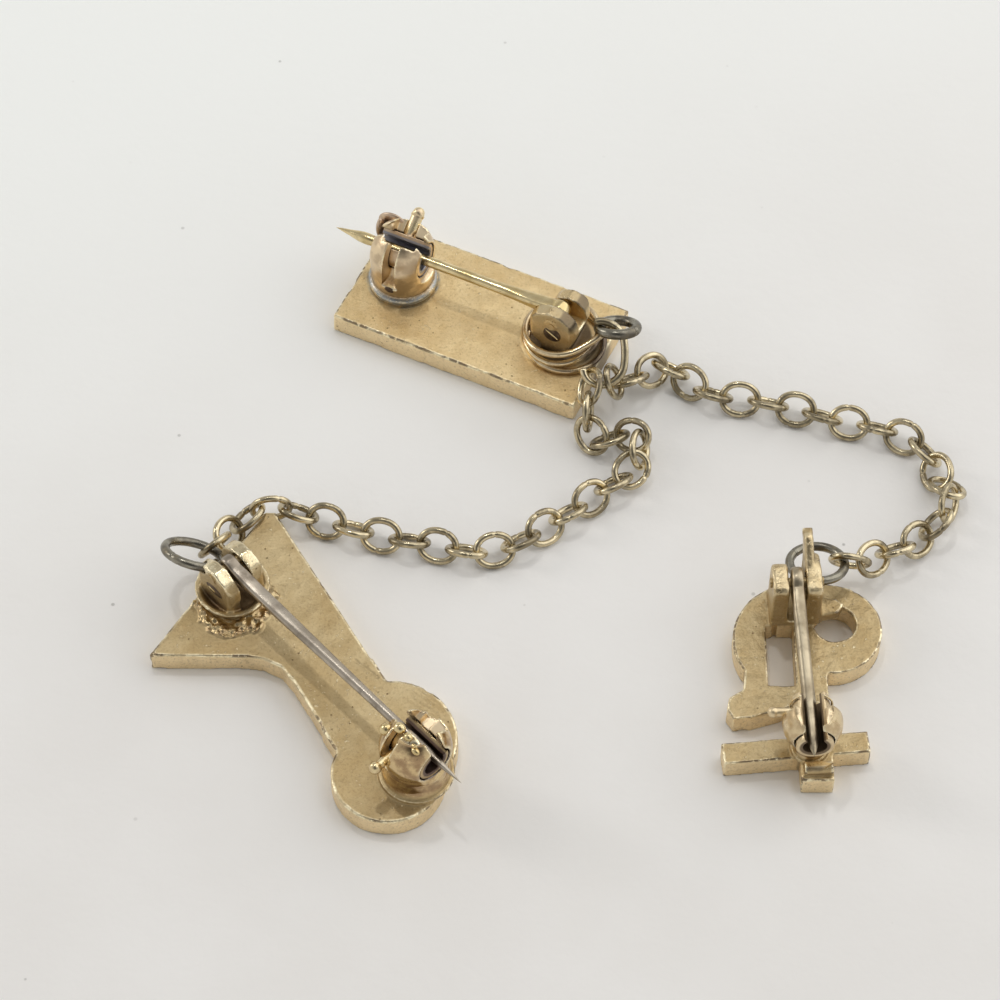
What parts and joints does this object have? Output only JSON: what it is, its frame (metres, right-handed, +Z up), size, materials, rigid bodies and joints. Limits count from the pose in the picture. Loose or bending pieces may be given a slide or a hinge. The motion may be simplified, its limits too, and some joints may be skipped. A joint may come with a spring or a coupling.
{
  "type": "set of chained brooches with pin guard, lying face down",
  "caption": "Brooch set seen from the back: a bar, a fan and an openwork pin guard joined by cable chains, each with a riveted wire pin and a ball safety catch.",
  "frame": {"origin": "on the table under the middle of the whole set's bounding box", "axes": "+X to the right in the picture, along the set's length; +Y away from the viewer; +Z up from the table, out of the brooches' backs"},
  "size_m": [0.0536, 0.0481, 0.007],
  "materials": {
    "plate_gold": "satin pale gold, lightly tarnished and scratched",
    "bright_gold": "polished gold with a dark line along its lower side",
    "catch_brown": "polished golden brown, tarnished inside",
    "pin_nickel": "warm silver grey, drawn wire",
    "coil_rose": "pinkish gold wire",
    "ring_dark": "dark gunmetal with sharp highlights",
    "hub_brass": "grey brass wire, bright on its outer edge",
    "chain_brass": "greenish grey antique brass, bright where it is worn"
  },
  "bodies": {
    "root": {"bar_plate": "plate_gold", "bar_rivet": "bright_gold", "wire_coil": "coil_rose", "bar_ring": "ring_dark", "hub_ring": "hub_brass", "left_chain": "chain_brass", "right_chain": "chain_brass", "fan_plate": "plate_gold", "fan_rivet": "bright_gold", "fan_ring": "ring_dark", "guard_plate": "plate_gold", "guard_rivet": "bright_gold", "guard_ring": "ring_dark"},
    "bar_pin": {"bar_pin": "bright_gold"},
    "bar_sleeve": {"bar_sleeve": "catch_brown"},
    "fan_pin": {"fan_pin": "pin_nickel"},
    "fan_sleeve": {"fan_sleeve": "catch_brown"},
    "guard_pin": {"guard_pin": "pin_nickel"},
    "guard_sleeve": {"guard_sleeve": "catch_brown"}
  },
  "joints": [
    {"name": "bar_pin_hinge", "type": "hinge", "parent": "root", "child": "bar_pin", "pos_m": [-0.0002, 0.01383, 0.0047], "axis": [0.4281, 0.9037, 0], "range_deg": [0, 100]},
    {"name": "bar_sleeve_turn", "type": "hinge", "parent": "root", "child": "bar_sleeve", "pos_m": [-0.01095, 0.01893, 0.0047], "axis": [-0.9037, 0.4281, 0], "range_deg": [-180, 0]},
    {"name": "fan_pin_hinge", "type": "hinge", "parent": "root", "child": "fan_pin", "pos_m": [-0.02156, -0.00695, 0.0047], "axis": [-0.7337, -0.6794, 0], "range_deg": [0, 100]},
    {"name": "fan_sleeve_turn", "type": "hinge", "parent": "root", "child": "fan_sleeve", "pos_m": [-0.00948, -0.02043, 0.0047], "axis": [0.6794, -0.7337, 0], "range_deg": [-155, 0]},
    {"name": "guard_pin_hinge", "type": "hinge", "parent": "root", "child": "guard_pin", "pos_m": [0.01471, -0.00825, 0.0047], "axis": [-0.9994, -0.0344, 0], "range_deg": [0, 100]},
    {"name": "guard_sleeve_turn", "type": "hinge", "parent": "root", "child": "guard_sleeve", "pos_m": [0.01517, -0.01874, 0.0047], "axis": [0.0344, -0.9994, 0], "range_deg": [-160, 0]}
  ]
}
